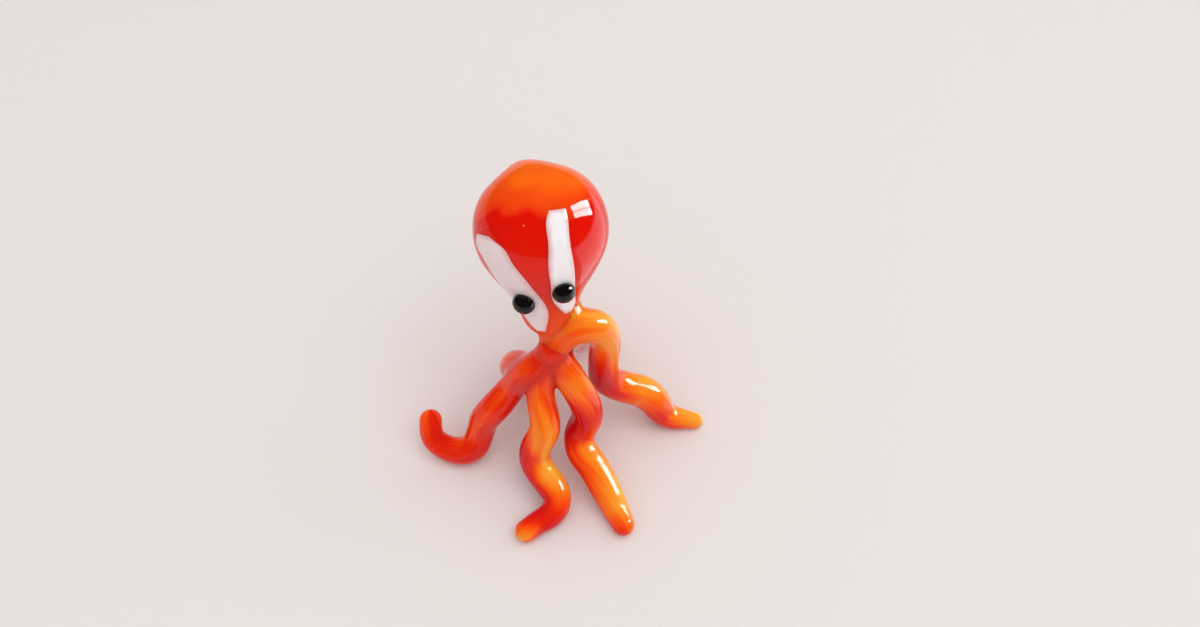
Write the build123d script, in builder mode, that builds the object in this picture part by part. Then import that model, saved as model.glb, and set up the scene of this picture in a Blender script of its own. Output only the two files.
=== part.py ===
"""A small lampworked glass octopus: a bulb mantle leaning back over a crown of six wavy arms."""

from build123d import *
import os
from math import cos, radians, sin

# Stance, in millimetres. The surface it stands on is z = 0
crown_height = 24.0
crown_right = 1.11
crown_forward = 1.84
foot_flat = 0.15

# Crown, the gather of glass in which the neck and all the arms meet
crown_radius = 2.25
crown_rise = 2.5

# Mantle, a blown-looking solid bulb drawn down to a neck
mantle_radius = 9.55
mantle_length = 18.3
mantle_lean = 36.0
mantle_heading = 100.0
neck_radius = 4.45
nub_radius = 3.9
nub_rise = 0.15

# Eyes, each a white stripe sunk in the mantle with a black bead on it
white_rise = 0.25
white_sink = 0.45
left_white_length = 16.0
left_white_width = 3.3
left_white_low = 6.6
left_white_azimuth = 26.0
right_white_length = 15.3
right_white_width = 4.6
right_white_low = 4.1
right_white_azimuth = -36.0
pupil_radius = 1.65
pupil_rise = 1.5
pupil_lift = 0.4
pupil_seat = 0.8
left_pupil_azimuth = 27.0
right_pupil_azimuth = -24.0

# Arms, drawn from one rod and pulled thinner towards the tips
arm_girth = 5.0
arm_root_share = 0.76
tip_length_share = 1.0
sections_per_station = 2
arm_left_reach = 23.0
arm_front_left_reach = 20.0
arm_front_reach = 19.0
arm_right_reach = 19.5
arm_rear_right_reach = 12.0
arm_rear_reach = 23.0

# Headings in plan, counted from the octopus's left towards its back
arm_left_heading = 8.0
arm_front_left_heading = -55.0
arm_front_heading = -100.0
arm_right_heading = -160.0
arm_rear_right_heading = 130.0
arm_rear_heading = 75.0

# Mantle profile below the bulb: height as a share of mantle_length, radius as a share of neck_radius
bulb_end_degrees = -28.0
flank_shares = (
    (0.61, 1.52),
    (0.48, 1.15),
    (0.38, 0.98),
    (0.295, 0.88),
    (0.21, 0.68),
    (0.14, 0.42),
)
neck_end_shares = (0.075, 0.32)
pupil_shoulder_share = 0.7
left_pupil_place_share = 0.22
right_pupil_place_share = 0.36

# White stripes: height as a share of the stripe's length, then side places as shares of its width
left_white_shares = (
    (0.00, 0.30, 0.62),
    (0.06, 0.05, 0.84),
    (0.14, -0.22, 0.80),
    (0.31, -0.46, 0.62),
    (0.55, -0.66, 0.40),
    (0.76, -0.62, 0.28),
    (0.94, -0.54, 0.34),
    (1.00, -0.38, 0.34),
)
right_white_shares = (
    (0.00, 0.14, 0.38),
    (0.13, -0.12, 0.60),
    (0.28, -0.34, 0.70),
    (0.43, -0.42, 0.75),
    (0.65, -0.46, 0.74),
    (0.80, -0.62, 0.60),
    (0.92, -0.82, 0.38),
    (1.00, -0.68, -0.10),
)

# Arm stations: out along the heading and aside of it as shares of the reach, clearance under the
# arm as a share of crown_height, and thickness as a share of arm_girth
arm_left_shares = (
    (0.090, 0.050, 1.015, 1.00),
    (0.185, 0.060, 1.045, 1.03),
    (0.267, 0.065, 1.020, 1.02),
    (0.323, 0.070, 0.942, 0.98),
    (0.343, 0.075, 0.830, 0.95),
    (0.340, 0.080, 0.705, 0.95),
    (0.338, 0.085, 0.550, 0.96),
    (0.380, 0.096, 0.344, 1.02),
    (0.515, 0.086, 0.239, 1.02),
    (0.622, 0.074, 0.182, 1.05),
    (0.710, 0.030, 0.102, 1.01),
    (0.770, -0.004, 0.023, 0.88),
    (0.840, -0.030, 0.000, 0.76),
    (0.916, -0.046, 0.000, 0.66),
    (0.990, -0.060, 0.000, 0.56),
)
arm_front_left_shares = (
    (0.085, 0.035, 0.790, 0.88),
    (0.188, 0.067, 0.659, 0.94),
    (0.272, 0.099, 0.522, 0.96),
    (0.308, 0.089, 0.367, 0.98),
    (0.324, 0.018, 0.230, 0.96),
    (0.407, -0.016, 0.165, 0.98),
    (0.527, -0.007, 0.122, 0.98),
    (0.654, -0.002, 0.069, 0.97),
    (0.793, -0.008, 0.026, 0.90),
    (0.905, -0.018, 0.000, 0.80),
    (1.015, -0.032, 0.000, 0.70),
)
arm_front_shares = (
    (0.080, -0.058, 0.780, 0.80),
    (0.156, -0.073, 0.654, 0.84),
    (0.250, -0.038, 0.531, 0.90),
    (0.339, -0.004, 0.421, 0.94),
    (0.414, -0.058, 0.275, 0.96),
    (0.479, -0.060, 0.166, 0.98),
    (0.550, 0.013, 0.101, 0.96),
    (0.628, 0.112, 0.071, 0.94),
    (0.695, 0.165, 0.046, 0.88),
    (0.767, 0.169, 0.023, 0.84),
    (0.832, 0.129, 0.000, 0.80),
    (0.900, 0.061, 0.000, 0.74),
    (0.992, -0.022, 0.000, 0.70),
)
arm_right_shares = (
    (0.103, 0.005, 0.830, 0.80),
    (0.213, -0.012, 0.726, 0.85),
    (0.312, -0.066, 0.553, 0.86),
    (0.470, -0.036, 0.398, 0.95),
    (0.578, -0.045, 0.259, 0.93),
    (0.638, -0.021, 0.129, 0.90),
    (0.721, 0.017, 0.036, 0.92),
    (0.846, -0.020, 0.000, 0.87),
    (0.938, -0.082, 0.019, 0.80),
    (1.000, -0.149, 0.069, 0.76),
    (0.990, -0.246, 0.177, 0.72),
)
arm_rear_right_shares = (
    (0.070, 0.115, 0.812, 0.80),
    (0.192, 0.217, 0.706, 0.88),
    (0.400, 0.233, 0.594, 0.96),
    (0.600, 0.192, 0.442, 0.98),
    (0.708, 0.117, 0.283, 0.94),
    (0.767, 0.050, 0.131, 0.88),
    (0.825, -0.067, 0.033, 0.82),
    (0.892, -0.225, 0.000, 0.78),
    (0.942, -0.383, 0.000, 0.70),
)
arm_rear_shares = (
    (0.105, -0.020, 0.875, 0.86),
    (0.245, -0.035, 0.750, 0.88),
    (0.355, -0.040, 0.595, 0.90),
    (0.450, -0.035, 0.440, 0.90),
    (0.550, -0.017, 0.290, 0.90),
    (0.665, -0.005, 0.160, 0.90),
    (0.775, 0.010, 0.065, 0.88),
    (0.870, 0.060, 0.000, 0.80),
    (0.953, 0.150, 0.000, 0.70),
)

os.makedirs("parts", exist_ok=True)

# The mantle's leaning axis, and the direction its face looks in
crown_centre = Vector(-crown_right, -crown_forward, crown_height)
mantle_axis = Vector(
    sin(radians(mantle_lean)) * cos(radians(mantle_heading)),
    sin(radians(mantle_lean)) * sin(radians(mantle_heading)),
    cos(radians(mantle_lean)),
)
mantle_line = Axis(crown_centre, mantle_axis)
face_dir = Plane(origin=crown_centre, x_dir=(0, -1, 0), z_dir=mantle_axis).x_dir


def half_plane(azimuth):
    """The plane through the mantle's axis at an azimuth: local x points outward, local y up the axis."""
    outward = face_dir.rotate(mantle_line, azimuth)
    return Plane(origin=crown_centre, x_dir=outward, z_dir=outward.cross(mantle_axis))


def facing_plane(azimuth):
    """The plane through the mantle's axis that faces an azimuth: local x is sideways, y up the axis."""
    outward = face_dir.rotate(mantle_line, azimuth)
    return Plane(origin=crown_centre, x_dir=mantle_axis.cross(outward), z_dir=outward)


def flank_points(swell):
    """The mantle's drawn-in flank from the bulb down to the neck's end, swollen outward by swell."""
    angle = radians(bulb_end_degrees)
    radius = mantle_radius + swell
    points = [(radius * cos(angle), mantle_length + radius * sin(angle))]
    for height_share, radius_share in (*flank_shares, neck_end_shares):
        points.append((radius_share * neck_radius + swell, height_share * mantle_length))
    return points


def mantle_solid(swell=0.0):
    """The bulb, its nub and its neck, turned about the leaning axis."""
    angle = radians(bulb_end_degrees)
    radius = mantle_radius + swell
    points = flank_points(swell)
    nub_foot = (nub_radius, mantle_length + (radius**2 - nub_radius**2) ** 0.5)
    top = (0, mantle_length + radius + nub_rise)
    foot_tangent = (-(radius**2 - nub_radius**2) ** 0.5, nub_radius)
    with BuildPart() as solid:
        with BuildSketch(half_plane(0)):
            with BuildLine():
                Spline(points, tangents=[(sin(angle), -cos(angle)), (-1, -1)])
                ThreePointArc(points[0], (radius, mantle_length), nub_foot)
                Spline(nub_foot, top, tangents=[foot_tangent, (-1, 0)])
                Line(top, (0, points[-1][1]))
                Line((0, points[-1][1]), points[-1])
            make_face()
        revolve(axis=mantle_line)
    return solid.part


def white_solid(azimuth, low, length, width, shares):
    """One white stripe: its outline pushed out through the mantle's wall, between two skins."""
    left_edge = [(left * width, low + height * length) for height, left, right in shares]
    right_edge = [(right * width, low + height * length) for height, left, right in shares]
    with BuildPart() as white:
        with BuildSketch(facing_plane(azimuth)):
            with BuildLine():
                Spline(left_edge)
                Spline(right_edge)
                Line(left_edge[0], right_edge[0])
                Line(left_edge[-1], right_edge[-1])
            make_face()
        extrude(amount=mantle_radius + mantle_radius)
        add(mantle_solid(white_rise), mode=Mode.INTERSECT)
        add(mantle_solid(-white_sink), mode=Mode.SUBTRACT)
    return white.part


def pupil_solid(azimuth, place_share):
    """One black bead, a lens seated in the white where the mantle's flank narrows to the neck."""
    with BuildLine(half_plane(azimuth)):
        flank = Spline(flank_points(white_rise))
    tangent = flank.tangent_at(place_share)
    sideways = half_plane(azimuth).z_dir
    outward = tangent.cross(sideways)
    if outward.dot(half_plane(azimuth).x_dir) < 0:
        outward = -outward
    seat = flank.position_at(place_share) + outward * pupil_lift
    shoulder = pupil_shoulder_share * pupil_radius
    dome = pupil_shoulder_share * pupil_rise
    dish = pupil_shoulder_share * pupil_seat
    with BuildPart() as pupil:
        with BuildSketch(Plane(origin=seat, x_dir=tangent, z_dir=tangent.cross(outward))):
            with BuildLine():
                Spline((pupil_radius, 0), (shoulder, dome), (0, pupil_rise), tangents=[(0, 1), (-1, 0)])
                Spline((0, -pupil_seat), (shoulder, -dish), (pupil_radius, 0), tangents=[(1, 0), (0, 1)])
                Line((0, -pupil_seat), (0, pupil_rise))
            make_face()
        revolve(axis=Axis(seat, outward))
    return pupil.part


def arm_stations(heading, reach, shares):
    """Centres and radii down one arm, from the crown's centre to the tip."""
    out_x, out_y = cos(radians(heading)), sin(radians(heading))
    centres = [crown_centre]
    rod_radii = [arm_root_share * arm_girth / 2]
    for out_share, side_share, lift_share, girth_share in shares:
        radius = girth_share * arm_girth / 2
        out, side = out_share * reach, side_share * reach
        centres.append(
            Vector(
                crown_centre.X + out * out_x - side * out_y,
                crown_centre.Y + out * out_y + side * out_x,
                lift_share * crown_height + radius - foot_flat,
            )
        )
        rod_radii.append(radius)
    return centres, rod_radii


def arm_solid(heading, reach, shares, neighbours):
    """One arm: a loft of round sections down a smooth route, a domed tip, and flats where it rests."""
    centres, rod_radii = arm_stations(heading, reach, shares)
    with BuildPart() as arm:
        with BuildLine():
            rod = Spline(centres)
        places = [rod.param_at_point(centre) for centre in centres]
        steady = Vector(0, 0, 1)
        for first in range(len(centres) - 1):
            last = first == len(centres) - 2
            for step in range(sections_per_station + last):
                part_way = step / sections_per_station
                place = places[first] + (places[first + 1] - places[first]) * part_way
                radius = rod_radii[first] + (rod_radii[first + 1] - rod_radii[first]) * part_way
                tangent = rod.tangent_at(place)
                steady = steady - tangent * steady.dot(tangent)
                with BuildSketch(Plane(origin=rod.position_at(place), x_dir=steady, z_dir=tangent)):
                    Circle(radius)
        loft()
        with BuildSketch(Plane(origin=centres[-1], x_dir=tangent, z_dir=steady)):
            with BuildLine():
                EllipticalCenterArc((0, 0), radius * tip_length_share, radius, start_angle=0, arc_size=90)
                Line((0, radius), (0, 0))
                Line((0, 0), (radius * tip_length_share, 0))
            make_face()
        revolve(axis=Axis(centres[-1], tangent))
        split(bisect_by=Plane.XY, keep=Keep.TOP)
        for neighbour in neighbours:
            add(neighbour, mode=Mode.SUBTRACT)
    # Neighbours can shave a speck off the root, so the arm is the largest solid left
    return arm.part.solids().sort_by(SortBy.VOLUME)[-1]


# Black pupils
pupils = {
    "pupil_left": pupil_solid(left_pupil_azimuth, left_pupil_place_share),
    "pupil_right": pupil_solid(right_pupil_azimuth, right_pupil_place_share),
}

# White stripes, with a seat for each pupil
whites = {}
for side, azimuth, low, length, width, shares in (
    ("left", left_white_azimuth, left_white_low, left_white_length, left_white_width, left_white_shares),
    ("right", right_white_azimuth, right_white_low, right_white_length, right_white_width, right_white_shares),
):
    with BuildPart() as eye_white:
        add(white_solid(azimuth, low, length, width, shares))
        add(pupils["pupil_" + side], mode=Mode.SUBTRACT)
    whites["eye_white_" + side] = eye_white.part

# Crown, turned about the vertical
with BuildPart() as arm_crown:
    with BuildSketch(Plane(origin=crown_centre, x_dir=(1, 0, 0), z_dir=(0, -1, 0))):
        with BuildLine():
            EllipticalCenterArc((0, 0), crown_radius, crown_rise, start_angle=-90, arc_size=180)
            Line((0, -crown_rise), (0, crown_rise))
        make_face()
    revolve(axis=Axis(crown_centre, (0, 0, 1)))

# Mantle, pocketed for the stripes and seated on the crown
with BuildPart() as mantle:
    add(mantle_solid())
    add([*whites.values(), *pupils.values(), arm_crown.part], mode=Mode.SUBTRACT)

# Arms, each fused against the ones before it
fused = [arm_crown.part, mantle.part, *whites.values()]
arms = {}
for name, heading, reach, shares in (
    ("arm_left", arm_left_heading, arm_left_reach, arm_left_shares),
    ("arm_front_left", arm_front_left_heading, arm_front_left_reach, arm_front_left_shares),
    ("arm_front", arm_front_heading, arm_front_reach, arm_front_shares),
    ("arm_right", arm_right_heading, arm_right_reach, arm_right_shares),
    ("arm_rear_right", arm_rear_right_heading, arm_rear_right_reach, arm_rear_right_shares),
    ("arm_rear", arm_rear_heading, arm_rear_reach, arm_rear_shares),
):
    arms[name] = arm_solid(heading, reach, shares, fused)
    fused.append(arms[name])

pieces = {"mantle": mantle.part, "arm_crown": arm_crown.part, **whites, **pupils, **arms}
for name, piece in pieces.items():
    piece.label = name
    export_step(piece, "parts/" + name + ".step")
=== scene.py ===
"""A small lampworked glass octopus, dressed: six streaked arms, a red mantle, opal and black eyes."""

from __future__ import annotations

import logging
import math
from collections.abc import Callable
from dataclasses import dataclass
from enum import Enum

import bpy
import numpy as np
from mathutils import Matrix, Vector


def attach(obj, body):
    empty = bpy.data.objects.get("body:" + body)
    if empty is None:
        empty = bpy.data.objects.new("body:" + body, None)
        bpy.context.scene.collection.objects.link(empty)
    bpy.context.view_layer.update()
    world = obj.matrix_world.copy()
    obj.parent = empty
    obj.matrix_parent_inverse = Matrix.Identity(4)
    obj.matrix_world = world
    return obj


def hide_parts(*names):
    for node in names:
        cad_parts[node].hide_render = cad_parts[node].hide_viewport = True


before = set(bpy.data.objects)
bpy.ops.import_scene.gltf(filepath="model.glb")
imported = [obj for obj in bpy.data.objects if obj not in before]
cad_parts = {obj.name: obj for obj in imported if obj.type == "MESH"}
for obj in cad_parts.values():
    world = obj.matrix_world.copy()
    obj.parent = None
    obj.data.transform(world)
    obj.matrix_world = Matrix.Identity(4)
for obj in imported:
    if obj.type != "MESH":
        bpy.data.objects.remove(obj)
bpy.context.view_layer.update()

log = logging.getLogger("octopus")

MM = 0.001
RIGHT, BACK, UP = np.eye(3)
# Most of a noise lies in this span, which a map range then spreads out
NOISE_SPAN = {"From Min": 0.3, "From Max": 0.7}
# Numbers of a colour mix's inputs and of its output
MIX_SHARE, MIX_FIRST, MIX_SECOND, MIX_COLOUR = 0, 6, 7, 2

Table = tuple[tuple[float, ...], ...]
Distance = Callable[[np.ndarray], np.ndarray]
Inputs = dict[str | int, object]
Tones = tuple[tuple[float, str], ...]


class Slot(Enum):
    """The record's material slots."""

    HEAD = "head_glass"
    ARM = "arm_glass"
    WHITE = "white_glass"
    BLACK = "black_glass"


# Lines and skins


def unit(vectors: np.ndarray) -> np.ndarray:
    """Scales vectors to a length of one."""
    return vectors / np.maximum(np.linalg.norm(vectors, axis=-1, keepdims=True), 1e-12)


def chords(points: np.ndarray) -> np.ndarray:
    """Lengths along the straight runs between points, from the first."""
    return np.concatenate(([0.0], np.cumsum(np.linalg.norm(np.diff(points, axis=0), axis=1))))


def spokes(first: np.ndarray, second: np.ndarray, count: int) -> np.ndarray:
    """Directions all round a ring, from one way towards another that is square to it."""
    turns = np.linspace(0, 2 * math.pi, count, endpoint=False)
    return np.outer(np.cos(turns), first) + np.outer(np.sin(turns), second)


def smooth_through(
    knots: np.ndarray,
    values: np.ndarray,
    places: np.ndarray,
    end_slopes: tuple[np.ndarray, np.ndarray] | None = None,
) -> np.ndarray:
    """Reads the cubic curve through some knots.

    Args:
        knots: Rising places of the knots.
        values: One row of values at each knot.
        places: Where to read the curve.
        end_slopes: Slopes at the two ends, or None for ends without bend.

    Returns:
        One row of values at each place.
    """
    gaps = np.diff(knots)
    rises = np.diff(values, axis=0) / gaps[:, None]
    count = len(knots)
    system = np.zeros((count, count))
    wanted = np.zeros(values.shape)
    for row in range(1, count - 1):
        system[row, row - 1 : row + 2] = gaps[row - 1], 2 * (gaps[row - 1] + gaps[row]), gaps[row]
        wanted[row] = 6 * (rises[row] - rises[row - 1])
    if end_slopes is None:
        system[0, 0] = 1.0
        system[-1, -1] = 1.0
    else:
        system[0, :2] = 2 * gaps[0], gaps[0]
        wanted[0] = 6 * (rises[0] - end_slopes[0])
        system[-1, -2:] = gaps[-1], 2 * gaps[-1]
        wanted[-1] = 6 * (end_slopes[1] - rises[-1])
    bends = np.linalg.solve(system, wanted)
    span = np.clip(np.searchsorted(knots, places, side="right") - 1, 0, count - 2)
    ahead = (places - knots[span])[:, None]
    gap = gaps[span][:, None]
    slope = rises[span] - gap * (2 * bends[span] + bends[span + 1]) / 6
    curl = (bends[span + 1] - bends[span]) / (6 * gap)
    return values[span] + ahead * (slope + ahead * (bends[span] / 2 + ahead * curl))


def read_table(table: Table, shares: np.ndarray) -> np.ndarray:
    """Reads a table whose first column is a rising share, in straight steps between its rows.

    Args:
        table: Rows of a share and the values at it.
        shares: Where to read it.

    Returns:
        One row of values at each share.
    """
    rows = np.array(table)
    return np.stack([np.interp(shares, rows[:, 0], column) for column in rows[:, 1:].T], axis=1)


def ripple(points: np.ndarray, length: float, phase: float) -> np.ndarray:
    """A slow wave from -1 to 1 over places in space, as hand-shaped glass has.

    Args:
        points: Places in millimetres.
        length: Distance from crest to crest in millimetres.
        phase: A turn that sets one piece's wave apart from the next.

    Returns:
        The wave's height at each place.
    """
    turn = 2 * math.pi / length
    x, y, z = (points * turn).T
    first = np.sin(x + 0.7 * y + phase)
    second = np.sin(1.3 * y - 0.6 * z + 2 * phase)
    third = np.sin(1.1 * z + 0.8 * x - phase)
    return (first + second + third) / 3


def distance_to_line(points: np.ndarray, line: np.ndarray, radii: np.ndarray) -> np.ndarray:
    """Distance from a rod of changing thickness along straight runs.

    Args:
        points: Places to measure from.
        line: The rod's centres.
        radii: Its radius at each centre.

    Returns:
        One distance for each place, less than zero inside the rod.
    """
    starts, runs = line[:-1], np.diff(line, axis=0)
    squares = np.maximum((runs**2).sum(axis=1), 1e-12)
    nearest = np.full(len(points), np.inf)
    for start, run, square, radius, change in zip(starts, runs, squares, radii[:-1], np.diff(radii)):
        share = np.clip((points - start) @ run / square, 0, 1)
        gap = np.linalg.norm(points - start - share[:, None] * run, axis=1) - radius - share * change
        nearest = np.minimum(nearest, gap)
    return nearest


@dataclass
class Skin:
    """A closed skin of rings between two poles, in millimetres."""

    rings: np.ndarray
    first_pole: np.ndarray
    last_pole: np.ndarray

    def points(self) -> np.ndarray:
        """Every point: the first pole, the rings in order, the last pole."""
        return np.vstack((self.first_pole, self.rings.reshape(-1, 3), self.last_pole))

    def moved(self, points: np.ndarray) -> Skin:
        """The same skin with its points moved."""
        return Skin(points[1:-1].reshape(self.rings.shape), points[0], points[-1])

    def outward(self) -> np.ndarray:
        """Works out which way the skin faces.

        Returns:
            The outward direction at every point.
        """
        along = np.gradient(self.rings, axis=0)
        around = np.roll(self.rings, -1, axis=1) - np.roll(self.rings, 1, axis=1)
        sideways = unit(np.cross(around, along)).reshape(-1, 3)
        first = unit(self.first_pole - self.rings[0].mean(axis=0))
        last = unit(self.last_pole - self.rings[-1].mean(axis=0))
        return np.vstack((first, sideways, last))

    def faces(self) -> list[tuple[int, ...]]:
        """Lists the faces.

        Returns:
            Four-sided faces between the rings, and a fan at each pole.
        """
        count, around = self.rings.shape[:2]
        last = count * around + 1
        faces: list[tuple[int, ...]] = []
        for place in range(around):
            after = (place + 1) % around
            faces.append((0, 1 + after, 1 + place))
            for ring in range(count - 1):
                low, high = 1 + ring * around, 1 + (ring + 1) * around
                faces.append((low + place, low + after, high + after, high + place))
            faces.append((last - around + place, last - around + after, last))
        return faces

    def spread(self, per_ring: np.ndarray) -> np.ndarray:
        """Gives every point the value of its ring, and each pole that of the ring next to it."""
        around = self.rings.shape[1]
        return np.concatenate((per_ring[:1], np.repeat(per_ring, around), per_ring[-1:]))

    @classmethod
    def ball(
        cls,
        centre: np.ndarray,
        ways: tuple[np.ndarray, np.ndarray, np.ndarray],
        radius: float,
        heights: tuple[float, float],
        counts: tuple[int, int],
    ) -> Skin:
        """Makes the skin of a squashed ball.

        Args:
            centre: Its centre.
            ways: Two directions across it, and the one from its first pole to its last.
            radius: Its radius across.
            heights: How far its first and its last pole lie from its centre.
            counts: How many rings it has, and how many points each.

        Returns:
            The skin.
        """
        rings, around = counts
        bows = np.linspace(-math.pi / 2, math.pi / 2, rings + 2)[1:-1]
        flat = spokes(ways[0], ways[1], around) * radius
        depths = np.where(bows > 0, heights[1], heights[0]) * np.sin(bows)
        loops = centre + flat[None] * np.cos(bows)[:, None, None] + ways[2] * depths[:, None, None]
        return cls(loops, centre - ways[2] * heights[0], centre + ways[2] * heights[1])


def make_piece(
    node: str, finish: bpy.types.Material, skin: Skin, marks: dict[str, np.ndarray]
) -> bpy.types.Object:
    """Makes one smooth piece at the frame's origin, in the place of its node on the rigid body.

    Args:
        node: The node that it replaces.
        finish: Its material.
        skin: Its skin.
        marks: Values at each point that its finish reads, by name.

    Returns:
        The new object.
    """
    name = node + "_skin"
    mesh = bpy.data.meshes.new(name)
    mesh.from_pydata((skin.points() * MM).tolist(), [], skin.faces())
    mesh.validate()
    mesh.shade_smooth()
    mesh.materials.append(finish)
    for mark, values in marks.items():
        vector = values.ndim == 2
        layer = mesh.attributes.new(mark, "FLOAT_VECTOR" if vector else "FLOAT", "POINT")
        layer.data.foreach_set("vector" if vector else "value", values.astype(np.float32).ravel())
    piece = bpy.data.objects.new(name, mesh)
    bpy.context.scene.collection.objects.link(piece)
    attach(piece, "root")
    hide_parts(node)
    return piece


# Finishes, their sizes in millimetres


def linear(colour: str) -> tuple[float, float, float, float]:
    """Turns an sRGB hex colour into linear light.

    Args:
        colour: The colour, as # and six digits.

    Returns:
        Its red, green and blue, and a full alpha.
    """
    shares = [int(colour[place : place + 2], 16) / 255 for place in (1, 3, 5)]
    red, green, blue = (c / 12.92 if c <= 0.04045 else ((c + 0.055) / 1.055) ** 2.4 for c in shares)
    return red, green, blue, 1.0


def add_node(
    tree: bpy.types.NodeTree, kind: str, inputs: Inputs | None = None, **settings: object
) -> bpy.types.Node:
    """Adds one node with its settings, values and links.

    Args:
        tree: The tree that it joins.
        kind: Its type, without the leading ShaderNode.
        inputs: A value, or another node's output, for each input by name or number.
        **settings: The node's own properties.

    Returns:
        The new node.
    """
    node = tree.nodes.new("ShaderNode" + kind)
    for name, value in settings.items():
        setattr(node, name, value)
    for name, value in (inputs or {}).items():
        if isinstance(value, bpy.types.NodeSocket):
            tree.links.new(value, node.inputs[name])
        else:
            node.inputs[name].default_value = value
    return node


def set_ramp(node: bpy.types.Node, stops: Tones) -> bpy.types.NodeSocket:
    """Gives a colour ramp node its stops.

    Args:
        node: The ramp.
        stops: Rising places with their sRGB hex colours.

    Returns:
        The ramp's colour output.
    """
    elements = node.color_ramp.elements
    while len(elements) < len(stops):
        elements.new(0.5)
    for element, (place, colour) in zip(elements, stops):
        element.position = place
        element.color = linear(colour)
    return node.outputs["Color"]


@dataclass(frozen=True)
class Finish:
    """A finish: one material whose nodes end in one surface."""

    name: str
    ior: float = 1.52

    def make(self) -> bpy.types.Material:
        """Builds the material.

        Returns:
            The new material.
        """
        material = bpy.data.materials.new(self.name)
        material.use_nodes = True
        tree = material.node_tree
        tree.nodes.clear()
        surface = add_node(tree, "BsdfPrincipled", self.surface(tree))
        add_node(tree, "OutputMaterial", {"Surface": surface.outputs[0]})
        return material

    def surface(self, tree: bpy.types.NodeTree) -> Inputs:
        """Builds the finish's own nodes and says what its surface takes from them, by input."""
        raise NotImplementedError


@dataclass(frozen=True)
class FlamedGlass(Finish):
    """Soda-lime glass, worked and polished by its own melting in the flame.

    The eye sees a wet gloss over a slow wave, a few seeds, which are the tiny bubbles of the gather,
    and edges that glow, because the colour lies in the glass and light comes back out of it.
    """

    tones: Tones = ()
    # How far apart the seeds lie, their clear heart and their rim as shares of that, and how much they show
    seed_gap: float = 2.6
    seed_heart: float = 0.03
    seed_edge: float = 0.06
    seed_share: float = 0.3
    seed_colour: str = "#ffd9a8"
    wave_length: float = 2.6
    wave_strength: float = 0.35
    wave_depth: float = 0.06
    gloss: tuple[float, float] = (0.03, 0.07)
    specular: float = 0.24
    glow: float = 0.6
    glow_reach: tuple[float, float, float] = (1.0, 0.35, 0.12)
    glow_depth: float = 2.6

    def tone(self, tree: bpy.types.NodeTree) -> bpy.types.NodeSocket:
        """Builds the nodes that say where among the tones each place lies, and returns their output."""
        raise NotImplementedError

    def surface(self, tree: bpy.types.NodeTree) -> Inputs:
        """Builds the seeds, the wave and the gloss over the tones.

        Args:
            tree: The material's tree.

        Returns:
            What the surface takes, by input.
        """
        colour = set_ramp(add_node(tree, "ValToRGB", {"Fac": self.tone(tree)}), self.tones)
        where = add_node(tree, "TexCoord").outputs["Object"]
        seeds = add_node(
            tree, "TexVoronoi", {"Vector": where, "Scale": 1 / (self.seed_gap * MM)}, feature="F1"
        )
        spots = add_node(
            tree,
            "MapRange",
            {
                "Value": seeds.outputs["Distance"],
                "From Min": self.seed_heart,
                "From Max": self.seed_edge,
                "To Min": self.seed_share,
                "To Max": 0.0,
            },
        )
        seeded = add_node(
            tree,
            "Mix",
            {MIX_SHARE: spots.outputs[0], MIX_FIRST: colour, MIX_SECOND: linear(self.seed_colour)},
            data_type="RGBA",
        )
        wave = add_node(
            tree, "TexNoise", {"Vector": where, "Scale": 1 / (self.wave_length * MM), "Detail": 1.0}
        ).outputs["Fac"]
        bump = add_node(
            tree, "Bump", {"Height": wave, "Strength": self.wave_strength, "Distance": self.wave_depth * MM}
        )
        gloss = add_node(
            tree,
            "MapRange",
            {"Value": wave, **NOISE_SPAN, "To Min": self.gloss[0], "To Max": self.gloss[1]},
        )
        return {
            "Base Color": seeded.outputs[MIX_COLOUR],
            "Roughness": gloss.outputs[0],
            "IOR": self.ior,
            "Specular IOR Level": self.specular,
            "Subsurface Weight": self.glow,
            "Subsurface Radius": self.glow_reach,
            "Subsurface Scale": self.glow_depth * MM,
            "Normal": bump.outputs["Normal"],
        }


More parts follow.
